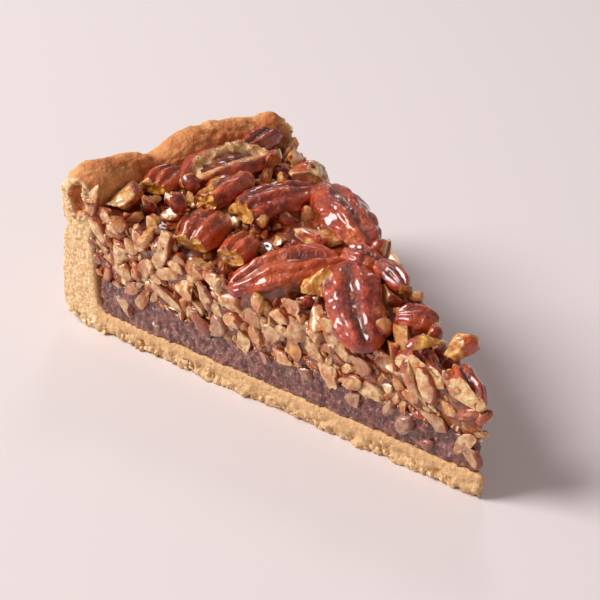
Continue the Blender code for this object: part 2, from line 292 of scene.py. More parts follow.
def noise_of(tree, size_mm, detail=3.0, distortion=0.0):
    """Noise that changes over about this many millimetres of the object."""
    place = add_node(tree, "ShaderNodeTexCoord").outputs["Object"]
    noise = add_node(tree, "ShaderNodeTexNoise", {"Vector": place},
                     values={"Scale": 1 / (size_mm * MM), "Detail": detail, "Distortion": distortion})
    return noise.outputs["Fac"]


def between(tree, low, high, source):
    """The source spread so that low becomes 0 and high becomes 1."""
    node = add_node(tree, "ShaderNodeMapRange", {"Value": source}, interpolation_type="SMOOTHSTEP",
                    values={"From Min": low, "From Max": high})
    return node.outputs["Result"]


def blend_colours(tree, amount, first, second):
    """From the first colour to the second one; either is a hex code or another node's output."""
    node = add_node(tree, "ShaderNodeMix", {"Factor": amount}, data_type="RGBA")
    for place, source in ((6, first), (7, second)):
        if isinstance(source, str):
            node.inputs[place].default_value = colour(source)
        else:
            tree.links.new(source, node.inputs[place])
    return node.outputs[2]


def relief(tree, shader, height, depth_mm, strength=1.0):
    bump = add_node(tree, "ShaderNodeBump", {"Height": height},
                    values={"Distance": depth_mm * MM, "Strength": strength})
    tree.links.new(bump.outputs["Normal"], shader.inputs["Normal"])


def multiply(tree, source, factor):
    node = add_node(tree, "ShaderNodeMath", {0: source}, operation="MULTIPLY", use_clamp=True,
                    values={1: factor})
    return node.outputs[0]


def shortcrust_pastry():
    """Baked butter pastry: dry, matt and crumbly; golden outside, pale where cut, browned on the rim."""
    material, tree, shader = new_material("shortcrust pastry", Roughness=0.62, IOR=1.45)
    shader.inputs["Subsurface Weight"].default_value = 0.12
    shader.inputs["Subsurface Radius"].default_value = (0.0012, 0.0006, 0.0003)
    shader.inputs["Subsurface Scale"].default_value = 1.0
    patches = noise_of(tree, 6.0)
    crumbs = noise_of(tree, 0.9)
    outside = blend_colours(tree, between(tree, 0.35, 0.65, patches), "#E09A5A", "#EFB97C")
    inside = blend_colours(tree, between(tree, 0.35, 0.65, crumbs), "#E2AE74", "#FADDAE")
    # painted shade: brown spots in the cut crumb stand for the shade inside its pits
    pits = between(tree, 0.62, 0.7, noise_of(tree, 1.2, 2.0))
    inside = blend_colours(tree, multiply(tree, pits, 0.6), inside, "#B4743A")
    flaky = blend_colours(tree, between(tree, 0.35, 0.65, crumbs), "#EFC990", "#FFF1D2")
    inside = blend_colours(tree, multiply(tree, value_of(tree, "crumbly"), 0.9), inside, flaky)
    crust = blend_colours(tree, value_of(tree, "cut"), outside, inside)
    baked = blend_colours(tree, between(tree, 0.3, 0.75, patches), "#B45420", "#E48C44")
    crust = blend_colours(tree, value_of(tree, "browned"), crust, baked)
    crust = blend_colours(tree, value_of(tree, "soaked"), crust, "#DFAE78")
    tree.links.new(crust, shader.inputs["Base Color"])
    relief(tree, shader, noise_of(tree, 0.8, 5.0), 0.5, 1.0)
    return material


def brown_custard():
    """Set egg and sugar custard: dark, moist and grainy; tiny pale specks painted into the colour stand for
    its glinting points, with painted highlights on grain crowns and painted shade between the clots.
    """
    material, tree, shader = new_material("brown sugar custard", Roughness=0.3, IOR=1.42)
    shader.inputs["Subsurface Weight"].default_value = 0.15
    shader.inputs["Subsurface Radius"].default_value = (0.0016, 0.0005, 0.0003)
    shader.inputs["Subsurface Scale"].default_value = 1.0
    shader.inputs["Coat Weight"].default_value = 1.0
    shader.inputs["Coat Roughness"].default_value = 0.08
    clots = noise_of(tree, 2.4, 4.0)
    tone = blend_colours(tree, between(tree, 0.35, 0.65, clots), "#64251B", "#985343")
    # painted shade: darker colour in the crevices between the clots
    tone = blend_colours(tree, multiply(tree, value_of(tree, "dark"), 0.8), tone, "#561A13")
    # painted highlight: paler colour on the crowns of some grains
    tone = blend_colours(tree, multiply(tree, value_of(tree, "pale"), 0.55), tone, "#C79A8C")
    # painted highlights: tiny pale specks in the colour stand for glinting points
    painted_glints = between(tree, 0.6, 0.68, noise_of(tree, 0.8, 2.0))
    tone = blend_colours(tree, multiply(tree, painted_glints, 0.6), tone, "#D3ADA6")
    tree.links.new(tone, shader.inputs["Base Color"])
    relief(tree, shader, noise_of(tree, 0.7, 4.0), 0.7, 1.0)
    return material


def nut_syrup():
    """Boiled syrup between the nuts: dark red-brown and glassy."""
    material, tree, shader = new_material("boiled syrup", Roughness=0.16, IOR=1.49)
    shader.inputs["Coat Weight"].default_value = 1.0
    shader.inputs["Coat Roughness"].default_value = 0.05
    tone = blend_colours(tree, between(tree, 0.35, 0.7, noise_of(tree, 3.0)), "#551A0F", "#A04A22")
    paste = blend_colours(tree, between(tree, 0.3, 0.65, noise_of(tree, 1.8)), "#4C170C", "#A0552E")
    tone = blend_colours(tree, value_of(tree, "sliced"), tone, paste)
    tree.links.new(tone, shader.inputs["Base Color"])
    relief(tree, shader, noise_of(tree, 1.3, 3.0), 0.4, 0.8)
    return material


def chopped_pecan(name, flesh_dark, flesh_pale, skin_dark, skin_pale, roughness, coat):
    """Chopped pecan: waxy pale flesh where it is broken or sliced, thin red-brown skin elsewhere."""
    material, tree, shader = new_material(name, Roughness=roughness, IOR=1.47)
    shader.inputs["Subsurface Weight"].default_value = 0.2
    shader.inputs["Subsurface Radius"].default_value = (0.002, 0.0011, 0.0005)
    shader.inputs["Subsurface Scale"].default_value = 1.0
    shader.inputs["Coat Weight"].default_value = coat
    shader.inputs["Coat Roughness"].default_value = 0.12
    fibres = noise_of(tree, 1.4, 4.0, 0.6)
    flesh = blend_colours(tree, between(tree, 0.3, 0.7, fibres), flesh_dark, flesh_pale)
    stained = between(tree, 0.5, 0.64, noise_of(tree, 6.0, 2.0))
    flesh = blend_colours(tree, multiply(tree, stained, 0.6), flesh, "#C0602A")
    soaked = blend_colours(tree, between(tree, 0.35, 0.7, noise_of(tree, 2.6)), "#B04E1C", "#E89E46")
    flesh = blend_colours(tree, multiply(tree, value_of(tree, "syrup"), 0.75), flesh, soaked)
    skin = blend_colours(tree, between(tree, 0.3, 0.7, noise_of(tree, 2.0)), skin_dark, skin_pale)
    tone = blend_colours(tree, between(tree, 0.35, 0.65, value_of(tree, "skin")), flesh, skin)
    tone = blend_colours(tree, multiply(tree, value_of(tree, "custard"), 0.8), tone, "#96685A")
    tree.links.new(tone, shader.inputs["Base Color"])
    relief(tree, shader, noise_of(tree, 0.8, 5.0, 0.3), 0.45, 0.8)
    return material


def glazed_pecan():
    """Pecan skin under clear boiled syrup: deep red-brown to orange, wet and mirror-bright."""
    material, tree, shader = new_material("glazed pecan", Roughness=0.2, IOR=1.47)
    shader.inputs["Subsurface Weight"].default_value = 0.08
    shader.inputs["Subsurface Radius"].default_value = (0.002, 0.0007, 0.0003)
    shader.inputs["Subsurface Scale"].default_value = 1.0
    shader.inputs["Coat Weight"].default_value = 1.0
    shader.inputs["Coat Roughness"].default_value = 0.09
    veins = noise_of(tree, 3.0, 4.0, 0.8)
    skin = blend_colours(tree, between(tree, 0.3, 0.72, veins), "#76160C", "#C8481C")
    thin = between(tree, 0.55, 0.68, noise_of(tree, 5.0, 3.0))
    skin = blend_colours(tree, multiply(tree, thin, 0.7), skin, "#DC6E26")
    # painted shade: near-black colour down the furrows
    skin = blend_colours(tree, value_of(tree, "furrow"), skin, "#3A0C0A")
    skin = blend_colours(tree, value_of(tree, "bright"), skin, "#D2581B")
    mottle = between(tree, 0.35, 0.65, noise_of(tree, 1.6, 3.0))
    flesh = blend_colours(tree, mottle, "#C26A1E", "#F2B450")
    sliced = blend_colours(tree, mottle, "#E0A060", "#FBD9A0")
    cream = blend_colours(tree, value_of(tree, "cream"), flesh, sliced)
    tone = blend_colours(tree, value_of(tree, "flesh"), skin, cream)
    tree.links.new(tone, shader.inputs["Base Color"])
    relief(tree, shader, noise_of(tree, 1.5, 6.0, 0.5), 0.9, 1.0)
    return material


# ------------------------------------------------------------ crust

def arc(middle_radius, middle_height, across, up, start, end, steps):
    turns = np.radians(np.linspace(start, end, steps))
    return list(zip(middle_radius + across * np.cos(turns), middle_height + up * np.sin(turns)))


def crust_outline(angle):
    """The crust cut along one radius: under the base, up the wall, over the rim and back."""
    top = float(rim_height(angle))
    outline = [(TIP, 0.0), (60.0, 0.0)]
    outline += arc(FOOT_RADIUS - 7, 7, 7, 7, -90, 0, 7)
    for height in np.linspace(11, top - RIM_ROUND - 1.5, 11):
        lean = (FOOT_RADIUS - RIM_RADIUS) * ramp(7, 31, height)
        crease = 1.2 * math.exp(-((height - 26) / 1.8) ** 2)
        outline.append((FOOT_RADIUS - lean - crease, height))
    outline += arc(RIM_RADIUS - RIM_WIDTH / 2, top - RIM_ROUND, RIM_WIDTH / 2, RIM_ROUND, 0, 180, 15)
    lip = WALL_INSIDE - RIM_RADIUS + RIM_WIDTH
    for height in np.linspace(min(top - RIM_ROUND - 1, 30), BASE + 4, 8):
        outline.append((WALL_INSIDE - lip * ramp(25, 31, height), height))
    outline += arc(WALL_INSIDE - 4, BASE + 4, 4, 4, -15, -90, 5)
    outline += [(60.0, BASE), (TIP, BASE)]
    return outline


# the air pocket's middle, on the cut face: distance from the pie's middle, and height
POCKET_RADIUS = 109.6
POCKET_HEIGHT = 33.4


def make_pocket():
    """The air pocket in the rim's cut end, as a lumpy ball to take out of it."""
    bm = bmesh.new()
    bmesh.ops.create_icosphere(bm, subdivisions=4, radius=1.0)
    for vert in bm.verts:
        vert.co *= 1 + 0.25 * float(soft_noise(np.array([vert.co]), 0.5, 3)[0])
    bmesh.ops.scale(bm, vec=(2.6, 2.8, 4.2), verts=bm.verts)
    bmesh.ops.translate(bm, vec=Vector(polar(POCKET_RADIUS, HALF, POCKET_HEIGHT)), verts=bm.verts)
    mesh = bpy.data.meshes.new("pocket")
    bm.to_mesh(mesh)
    bm.free()
    thing = bpy.data.objects.new("pocket", mesh)
    bpy.context.scene.collection.objects.link(thing)
    return thing


def make_crust(material):
    """The whole crust as one skin: crumbly where cut, pitted on the rim, browned where it rose."""
    bm = bmesh.new()
    sections = []
    for angle in np.linspace(-HALF, HALF, 41):
        sections.append([bm.verts.new(polar(r, angle, z)) for r, z in crust_outline(angle)])
    for left, right in zip(sections, sections[1:]):
        for i in range(len(left)):
            j = (i + 1) % len(left)
            bm.faces.new((left[i], left[j], right[j], right[i]))
    bm.faces.new(sections[0])
    bm.faces.new(sections[-1])
    pocket = make_pocket()
    points, normals, faces = even_skin(bm, 0.5, 3, pocket)
    bpy.data.objects.remove(pocket)

    radius, angle, height = around(points)
    front, back = from_cuts(points)
    cut = 1 - ramp(0.3, 0.9, np.minimum(front, back))
    from_pocket = points - polar(POCKET_RADIUS, HALF, POCKET_HEIGHT)
    in_pocket = np.linalg.norm(from_pocket / (2.9, 3.1, 4.5), axis=1) < 1.05
    rim = ramp(27, 33, height)
    low = 1 - ramp(2.2, 4.4, height)
    grain, tone = grains(points, 1.3, 1)
    crumb = (0.5 - grain) * 0.9 + 0.5 * tone
    coarse = rough_noise(points, 2.6, 5)

    amount = cut * (0.14 + 0.75 * low + 0.4 * rim) * (0.9 * crumb + 0.9 * coarse)
    wall = (1 - cut) * (0.35 * rough_noise(points, 5, 2) + (0.12 + 0.2 * rim) * crumb)
    amount = amount + wall + (1 - cut) * rim * 0.55 * rough_noise(points, 4.5, 9)
    amount = amount + in_pocket * 0.5 * (crumb + coarse)
    pits = ramp(0.45, 0.75, soft_noise(points, 1.5, 14)) * (cut * low + 0.5 * rim)
    amount = amount - 0.7 * pits
    ragged = cut * (1 - ramp(0.0, 2.2, height)) * ramp(-0.2, 0.8, soft_noise(points, 3.2, 21))
    points = points + normals * amount[:, None]
    points = points + (FRONT_IN * (front < back)[:, None] + BACK_IN * (front >= back)[:, None]) \
        * (1.1 * ragged)[:, None]
    points[:, 2] = np.maximum(points[:, 2], 0.0)

    inner = np.clip((RIM_RADIUS - 2.5 - radius) / 6, 0, 1)
    top = np.clip(normals[:, 2], 0, 1)
    patch = 0.5 + 0.5 * rough_noise(points, 7, 30)
    browned = rim * (1 - cut) * (0.25 + 0.75 * inner) * (0.35 + 0.65 * top) * (0.4 + patch)
    browned = browned + 0.25 * (1 - cut) * ramp(6, 0, height) * patch
    browned = np.maximum(browned, in_pocket * (0.55 + 0.35 * crumb))
    soaked = cut * ramp(BASE - 2.6, BASE, height) * (radius < 104) * 0.8
    soaked = np.maximum(soaked, cut * ramp(107.6, 106, radius) * (height < 30) * 0.8)
    crumbly = cut * ramp(4.6, 2.8, height)
    mesh = new_mesh("crust", points, faces, cut=cut, browned=np.clip(browned, 0, 1),
                    soaked=np.clip(soaked, 0, 1), crumbly=crumbly)
    return add_piece("crust_pastry", mesh, material, "shortcrust", "crust")


def make_crumbs(tree, shapes, material):
    """Loose crumbs along the lower edges of the cuts, round the pocket and over the rim's ends."""
    chance = random.Random(5)
    rows = []
    for side in (1, -1):
        for _ in range(150):
            radius = chance.uniform(8, 116)
            height = abs(chance.gauss(0, 1.1)) + 0.5
            if radius > 110:
                height = height + (radius - 110) ** 2 * 0.14
            size = chance.uniform(0.6, 1.5)
            place = at(radius, side * HALF, min(height, 3.6), chance.uniform(0.1, 0.7))
            rows.append((place, any_turn(chance), (size * 1.2, size, size * 0.8), -2.0, 0, 0))
        for _ in range(110):
            turn = chance.uniform(0, 2 * math.pi)
            reach = chance.uniform(0.95, 1.25)
            place = at(POCKET_RADIUS + 2.7 * reach * math.cos(turn), side * HALF,
                       POCKET_HEIGHT + 4.3 * reach * math.sin(turn), chance.uniform(-0.2, 0.5))
            if place.z < float(rim_height(side * HALF)) - 0.8:
                size = chance.uniform(0.7, 1.5)
                rows.append((place, any_turn(chance), (size, size, size * 0.8), -2.0, 0, 0))
    return strew("crust_crumbs", tree, shapes, rows, material, "crust", "shortcrust")


# ------------------------------------------------------------ custard and syrup

def make_custard(material):
    """The custard layer, torn into small clots and holes where the knife drew through it."""
    bm = sector(lambda r, a: np.full_like(r, BASE - 0.3), custard_height, TIP + 1.5, 104.8, 0.6)
    points, normals, faces = even_skin(bm, 0.45, 1)
    front, back = from_cuts(points)
    cut = 1 - ramp(1.0, 2.4, np.minimum(front, back))
    coarse, _ = grains(points, 2.3, 12)
    grain, tone = grains(points, 1.1, 2)
    lumps = 0.7 * (0.55 - coarse) + 0.75 * (0.5 - grain) + 0.35 * rough_noise(points, 3.5, 3)
    points = points + normals * (lumps * cut)[:, None]
    # painted highlight: the crowns of some grains, where the lumps rise highest, get a paler colour
    pale = np.clip(ramp(0.3, 0.8, tone) * ramp(0.55, 0.2, grain), 0, 1)
    # painted shade: the crevices between the clots, where the lumps sink lowest, get a darker colour
    dark = ramp(0.45, 0.9, np.maximum(coarse, grain))
    mesh = new_mesh("custard", points, faces, pale=pale, dark=dark)
    return add_piece("custard_layer", mesh, material, "custard", "custard")


def make_core(material):
    """The syrup that holds the nuts together, drawn up a little way round the large ones."""
    bm = sector(lambda r, a: custard_height(r, a) - 0.6, lambda r, a: heap_height(r, a) - 0.7,
                TIP + 2.0, 104.9, 1.0)
    for name, size, turns, kept, kind, *_ in NUTS:
        if kind == "lump":
            continue
        along = size[0] * 0.2 * (kept[1] - kept[0])
        spread = Matrix.Diagonal((along, size[1] * 0.52, size[2] * 0.5)).to_4x4()
        place = Matrix.Translation(NUT_MIDDLES[name] - Vector((0, 0, 1.9)))
        bmesh.ops.create_icosphere(bm, subdivisions=3, radius=1.0,
                                   matrix=place @ nut_way(turns).to_4x4() @ spread)
    points, normals, faces = even_skin(bm, 0.7, 4)
    lumps = 0.6 * rough_noise(points, 3.5, 6) + 0.5 * (0.5 - grains(points, 2.2, 7)[0])
    points = points + normals * lumps[:, None]
    front, back = from_cuts(points)
    points = points + np.maximum(0.6 - front, 0)[:, None] * FRONT_IN
    points = points + np.maximum(0.6 - back, 0)[:, None] * BACK_IN
    sliced = 1 - ramp(1.0, 2.5, np.minimum(front, back))
    mesh = new_mesh("core", points, faces, sliced=sliced)
    return add_piece("syrup_core", mesh, material, "chopped_nuts", "nut_layer")


# ------------------------------------------------------------ chopped nuts

# Pieces that show in the front cut: distance from the tip and height of the middle, length, width
# (mm), slope down towards the tip in degrees, how much syrup and how much custard has stained it.
SLICED = (
    (105.6, 34.0, 8.0, 3.2, 105, 0.2, 0.0), (104.0, 27.6, 8.6, 3.4, 52, 0.0, 0.0),
    (101.0, 32.0, 3.6, 3.2, 50, 0.1, 0.0), (98.3, 29.4, 5.4, 3.5, 34, 0.1, 0.0),
    (91.8, 28.8, 5.6, 4.4, 46, 0.2, 0.0), (84.5, 28.6, 10.5, 3.8, 104, 0.0, 0.0),
    (98.0, 24.0, 7.0, 5.2, 8, 0.0, 0.0), (96.6, 19.8, 6.4, 3.8, 23, 0.0, 0.2),
    (92.8, 20.8, 5.2, 3.4, 53, 0.9, 0.0), (89.6, 22.2, 6.4, 3.8, 100, 0.0, 0.1),
    (84.6, 17.7, 11.0, 2.6, 27, 0.0, 0.3), (78.6, 21.0, 6.0, 4.0, 23, 0.0, 0.0),
    (72.8, 21.8, 7.4, 3.4, 70, 0.0, 0.2), (69.8, 26.0, 6.2, 4.6, 27, 0.2, 0.0),
    (94.2, 16.0, 4.8, 3.0, -16, 0.5, 0.4), (91.8, 13.8, 6.0, 3.2, 112, 0.6, 0.3),
    (74.2, 13.9, 7.6, 3.0, 46, 0.0, 0.5), (69.6, 15.2, 5.4, 5.2, 57, 0.2, 0.7),
    (77.2, 15.6, 5.2, 2.4, -33, 0.1, 0.1), (64.6, 18.2, 5.0, 3.8, 16, 0.4, 0.0),
    (59.2, 20.8, 5.2, 4.2, 12, 0.5, 0.3), (51.8, 23.8, 5.4, 3.4, 24, 0.1, 0.0),
    (54.0, 18.8, 4.4, 3.4, 16, 0.2, 0.3), (47.6, 22.4, 5.8, 4.8, 62, 0.3, 0.3),
    (42.8, 22.6, 4.2, 4.0, 29, 0.0, 0.0), (39.4, 25.4, 7.0, 4.4, 38, 0.0, 0.0),
    (48.8, 27.6, 4.6, 4.0, 32, 0.1, 0.0), (39.6, 20.6, 4.2, 3.0, 9, 0.5, 0.3),
    (35.6, 21.6, 5.6, 2.8, 45, 0.3, 0.1), (31.2, 20.0, 5.6, 4.0, 37, 0.2, 0.4),
    (33.2, 14.9, 5.0, 3.4, -30, 0.5, 0.0), (19.0, 20.4, 10.0, 3.4, 72, 0.1, 0.1),
    (15.4, 21.2, 8.4, 4.2, 67, 0.0, 0.0), (9.8, 23.6, 6.6, 4.0, 49, 0.0, 0.0),
    (5.8, 18.6, 7.0, 3.0, -31, 0.4, 0.1), (2.8, 18.9, 4.4, 2.4, -42, 0.1, 0.0),
)
SUNKEN = (
    (97.6, 10.4, 6.4, 2.8, 44, 0.1, 0.6), (6.2, 11.6, 6.6, 3.4, -50, 0.0, 0.3),
    (4.4, 9.2, 5.4, 2.8, 58, 0.0, 0.4), (20.2, 10.2, 4.4, 4.2, -23, 0.1, 0.9),
    (24.2, 12.5, 3.4, 3.2, 29, 0.0, 0.8), (32.8, 11.0, 3.6, 3.0, -22, 0.1, 0.8),
    (15.4, 7.2, 4.2, 2.2, -24, 0.2, 0.7), (106.2, 23.8, 3.0, 2.6, 45, 0.1, 0.6),
    (105.2, 19.8, 2.8, 2.4, 48, 0.0, 0.7), (45.0, 12.4, 3.8, 2.8, 30, 0.3, 0.8),
    (12.4, 13.6, 4.6, 2.6, 20, 0.0, 0.7), (56.0, 11.6, 3.4, 2.4, 15, 0.3, 0.8),
)
# Pale and amber pieces that lie on top: radius, angle, height, length, width, syrup stain.
ON_TOP = (
    (31.6, 10.5, 27.2, 3.6, 3.2, 0.0), (29.0, 8.0, 27.6, 4.6, 4.0, 0.0), (24.7, 4.7, 27.8, 5.0, 4.4, 0.3),
    (93.4, 4.0, 36.2, 5.6, 4.6, 0.1), (88.9, 9.0, 35.2, 6.0, 4.8, 0.7), (92.5, -9.4, 37.4, 4.6, 3.8, 0.1),
    (99.2, -4.9, 37.8, 5.2, 3.6, 0.0), (90.4, -12.1, 36.8, 5.4, 4.2, 0.4), (31.7, -12.4, 30.2, 3.6, 2.4, 0.2),
    (35.8, -10.8, 31.0, 3.4, 2.6, 0.4), (71.0, 2.4, 34.4, 4.2, 3.4, 0.5),
    (20.1, -6.3, 28.4, 3.6, 3.2, 0.8), (83.4, -12.4, 36.2, 5.6, 4.4, 0.6),
)


def ball(detail):
    """The points and faces of a round ball."""
    bm = bmesh.new()
    bmesh.ops.create_icosphere(bm, subdivisions=detail, radius=1.0)
    points = np.array([vert.co[:] for vert in bm.verts])
    faces = [tuple(vert.index for vert in face.verts) for face in bm.faces]
    bm.free()
    return points, faces


def chopped_shape(chance, detail, breaks, bend):
    """A bit of nut one unit across: round where its skin is, flat and rough where it broke off."""
    points, faces = ball(detail)
    points = points * (1 + 0.2 * soft_noise(points, 0.9, chance.randrange(99)))[:, None]
    skin = np.ones(len(points))
    for _ in range(breaks):
        towards = np.array([chance.gauss(0, 1) for _ in range(3)])
        towards /= np.linalg.norm(towards)
        reach = chance.uniform(0.3, 0.75)
        over = np.maximum(points @ towards - reach, 0)
        points = points - np.outer(over * chance.uniform(0.85, 1.1), towards)
        skin[over > 0] = 0
    seed = chance.randrange(99)
    rough = 0.15 * soft_noise(points, 0.5, seed) + 0.08 * soft_noise(points, 0.22, seed + 1)
    points = points * (1 + rough * (1.2 - skin))[:, None]
    points[:, 1] += bend * points[:, 0] ** 2
    points = points - (points.max(0) + points.min(0)) / 2
    return points / (points.max(0) - points.min(0)), faces, skin


def shape_set(name, count, seed, detail, breaks, bends):
    """A collection of chopped shapes, for the nodes below to pick from."""
    chance = random.Random(seed)
    group = bpy.data.collections.new(name)
    for number in range(count):
        points, faces, skin = chopped_shape(chance, detail, chance.choice(breaks), chance.uniform(*bends))
        mesh = bpy.data.meshes.new(f"{name} {number:02d}")
        mesh.from_pydata((points * MM).tolist(), [], faces)
        layer = mesh.attributes.new("skin", "FLOAT", "POINT")
        layer.data.foreach_set("value", skin.astype(np.float32))
        mesh.shade_smooth()
        mesh.set_sharp_from_angle(angle=math.radians(38))
        group.objects.link(bpy.data.objects.new(mesh.name, mesh))
    return group


def strewing_nodes():
    """Puts a shape on each point, turned and sized by the point's values, then slices what the
    knife reached: points past a cut plane move back onto it and count as bare flesh."""
    tree = bpy.data.node_groups.new("strew and slice", "GeometryNodeTree")
    face = tree.interface
    for kind, label in (("NodeSocketGeometry", "Points"), ("NodeSocketCollection", "Shapes"),
                        ("NodeSocketVector", "Pie Middle"), ("NodeSocketVector", "Front In"),
                        ("NodeSocketVector", "Back In"), ("NodeSocketMaterial", "Finish")):
        face.new_socket(label, in_out="INPUT", socket_type=kind)
    face.new_socket("Result", in_out="OUTPUT", socket_type="NodeSocketGeometry")
    given = tree.nodes.new("NodeGroupInput").outputs

    def named(label, kind):
        return add_node(tree, "GeometryNodeInputNamedAttribute", data_type=kind,
                        values={"Name": label}).outputs["Attribute"]

    shapes = add_node(tree, "GeometryNodeCollectionInfo", {"Collection": given["Shapes"]},
                      values={"Separate Children": True, "Reset Children": True})
    turn = add_node(tree, "FunctionNodeEulerToRotation", {0: named("turn", "FLOAT_VECTOR")})
    placed = add_node(tree, "GeometryNodeInstanceOnPoints", {
        "Points": given["Points"], "Instance": shapes.outputs[0],
        "Instance Index": named("which", "INT"), "Rotation": turn.outputs[0],
        "Scale": named("size", "FLOAT_VECTOR")}, values={"Pick Instance": True})
    current = add_node(tree, "GeometryNodeRealizeInstances", {0: placed.outputs[0]}).outputs[0]
    uneven = add_node(tree, "ShaderNodeTexNoise", values={"Scale": 1 / (1.6 * MM), "Detail": 2.0})
    uneven = add_node(tree, "ShaderNodeMath", {0: uneven.outputs[0]}, operation="MULTIPLY_ADD",
                      values={1: 1.6 * MM, 2: -0.8 * MM}).outputs[0]
    reach = add_node(tree, "ShaderNodeMath", {0: named("depth", "FLOAT"), 1: uneven},
                     operation="ADD").outputs[0]
    for plane in ("Front In", "Back In"):
        spot = add_node(tree, "GeometryNodeInputPosition").outputs[0]
        spot = add_node(tree, "ShaderNodeVectorMath", {0: spot, 1: given["Pie Middle"]},
                        operation="SUBTRACT").outputs[0]
        inside = add_node(tree, "ShaderNodeVectorMath", {0: spot, 1: given[plane]},
                          operation="DOT_PRODUCT").outputs["Value"]
        over = add_node(tree, "ShaderNodeMath", {0: reach, 1: inside},
                        operation="SUBTRACT").outputs[0]
        reached = add_node(tree, "FunctionNodeCompare", {0: over}, operation="GREATER_THAN").outputs[0]
        current = add_node(tree, "GeometryNodeStoreNamedAttribute",
                           {"Geometry": current, "Selection": reached},
                           values={"Name": "skin", "Value": 0.0}).outputs[0]
        push = add_node(tree, "ShaderNodeVectorMath", {0: given[plane], "Scale": over},
                        operation="SCALE").outputs[0]
        current = add_node(tree, "GeometryNodeSetPosition",
                           {"Geometry": current, "Selection": reached, "Offset": push}).outputs[0]
    current = add_node(tree, "GeometryNodeSetMaterial",
                       {"Geometry": current, "Material": given["Finish"]}).outputs[0]
    add_node(tree, "NodeGroupOutput", {0: current})
    return tree


def strew(name, tree, group, rows, material, node, slot="chopped_nuts"):
    """One piece of many bits, each row (place, turn, size, depth of the slice, syrup, custard)."""
    mesh = bpy.data.meshes.new(name)
    mesh.from_pydata([tuple(Vector(row[0]) * MM + PIE_MIDDLE) for row in rows], [], [])
    chance = random.Random(len(rows))
    count = len(group.objects)
    for label, kind, key, values in (
        ("turn", "FLOAT_VECTOR", "vector", [row[1] for row in rows]),
        ("size", "FLOAT_VECTOR", "vector", [row[2] for row in rows]),
        ("depth", "FLOAT", "value", [row[3] * MM for row in rows]),
        ("syrup", "FLOAT", "value", [row[4] for row in rows]),
        ("custard", "FLOAT", "value", [row[5] for row in rows]),
        ("cut", "FLOAT", "value", [1.0 for _ in rows]),
        ("which", "INT", "value", [chance.randrange(count) for _ in rows]),
    ):
        layer = mesh.attributes.new(label, kind, "POINT")
        layer.data.foreach_set(key, np.array(values).ravel())
    thing = bpy.data.objects.new(name, mesh)
    bpy.context.scene.collection.objects.link(thing)
    nodes = thing.modifiers.new("strew", "NODES")
    nodes.node_group = tree
    for item in tree.interface.items_tree:
        if item.in_out == "INPUT" and item.name != "Points":
            nodes[item.identifier] = {
                "Shapes": group, "Pie Middle": PIE_MIDDLE[:], "Finish": material,
                "Front In": FRONT_IN.tolist(), "Back In": BACK_IN.tolist(),
            }[item.name]
    done = bpy.data.meshes.new_from_object(thing.evaluated_get(bpy.context.evaluated_depsgraph_get()))
    bpy.data.objects.remove(thing)
    return add_piece(name, done, material, slot, node)


def inside_nut(place):
    """Whether a place lies in one of the large nuts, or too close to it."""
    for middle, turned, size in NUT_PLACES:
        away = place - middle
        if away.length_squared < 260:
            local = turned @ away
            if sum((part / (0.5 * extent + 0.9)) ** 2 for part, extent in zip(local, size)) < 1:
                return True
    return False


def throw_points(chance, tries, sizes, spot, taken, tight=1.0):
    """Random spots that keep their distance from those already taken and from the large nuts."""
    kept = []
    for _ in range(tries):
        place = spot(chance)
        size = chance.uniform(*sizes)
        apart = all((place - other).length > 0.5 * tight * (size + width) for other, width in taken)
        if apart and not inside_nut(place):
            taken.append((place, size))
            kept.append((place, size))
    return kept


def at(radius, angle, height, inward=0.0):
    """A place given round the pie, moved in from the cut on its own side."""
    way = FRONT_IN if angle > 0 else BACK_IN
    return Vector(polar(radius, angle, height) + inward * way)


def level(height, radius, angle):
    """One of the heights above at a single place."""
    return float(height(np.array([radius]), np.array([angle]))[0])


def cut_spot(side, lower, upper):
    """Draws places on one cut face, between two heights."""
    def draw(chance):
        radius = WALL_INSIDE * math.sqrt(chance.uniform(0.0005, 0.985))
        low, high = lower(radius, side * HALF), upper(radius, side * HALF)
        return at(radius, side * HALF, chance.uniform(low, high))
    return draw


def top_spot(chance):
    """Draws places on top of the heap."""
    radius = WALL_INSIDE * math.sqrt(chance.uniform(0.003, 0.985))
    angle = HALF * chance.uniform(-1, 1)
    return at(radius, angle, level(heap_height, radius, angle) + chance.uniform(-0.6, 0.6))


def cut_turn(side, slope, roll):
    """A piece lying in a cut face, sloping down towards the tip."""
    outward = Vector((-math.cos(HALF), -side * math.sin(HALF), 0))
    along = math.cos(slope) * outward + math.sin(slope) * Vector((0, 0, 1))
    across = math.cos(slope) * Vector((0, 0, 1)) - math.sin(slope) * outward
    turn = Matrix((along, across, along.cross(across))).transposed() @ Matrix.Rotation(roll, 3, "X")
    return tuple(turn.to_euler())


def any_turn(chance):
    return tuple(chance.uniform(0, 2 * math.pi) for _ in range(3))


def listed(chance, rows, taken):
    """The pieces listed above, as rows for the strewing."""
    done = []
    for radius, height, length, width, slope, syrup, custard in rows:
        place = at(radius, HALF, height, chance.uniform(0.5, 1.0))
        taken.append((place, 0.5 * (length + width)))
        done.append((place, cut_turn(1, math.radians(slope), chance.uniform(-0.2, 0.2)),
                     (length * 1.1, width * 1.15, width), chance.uniform(-0.7, -0.1), syrup, custard))
    return done


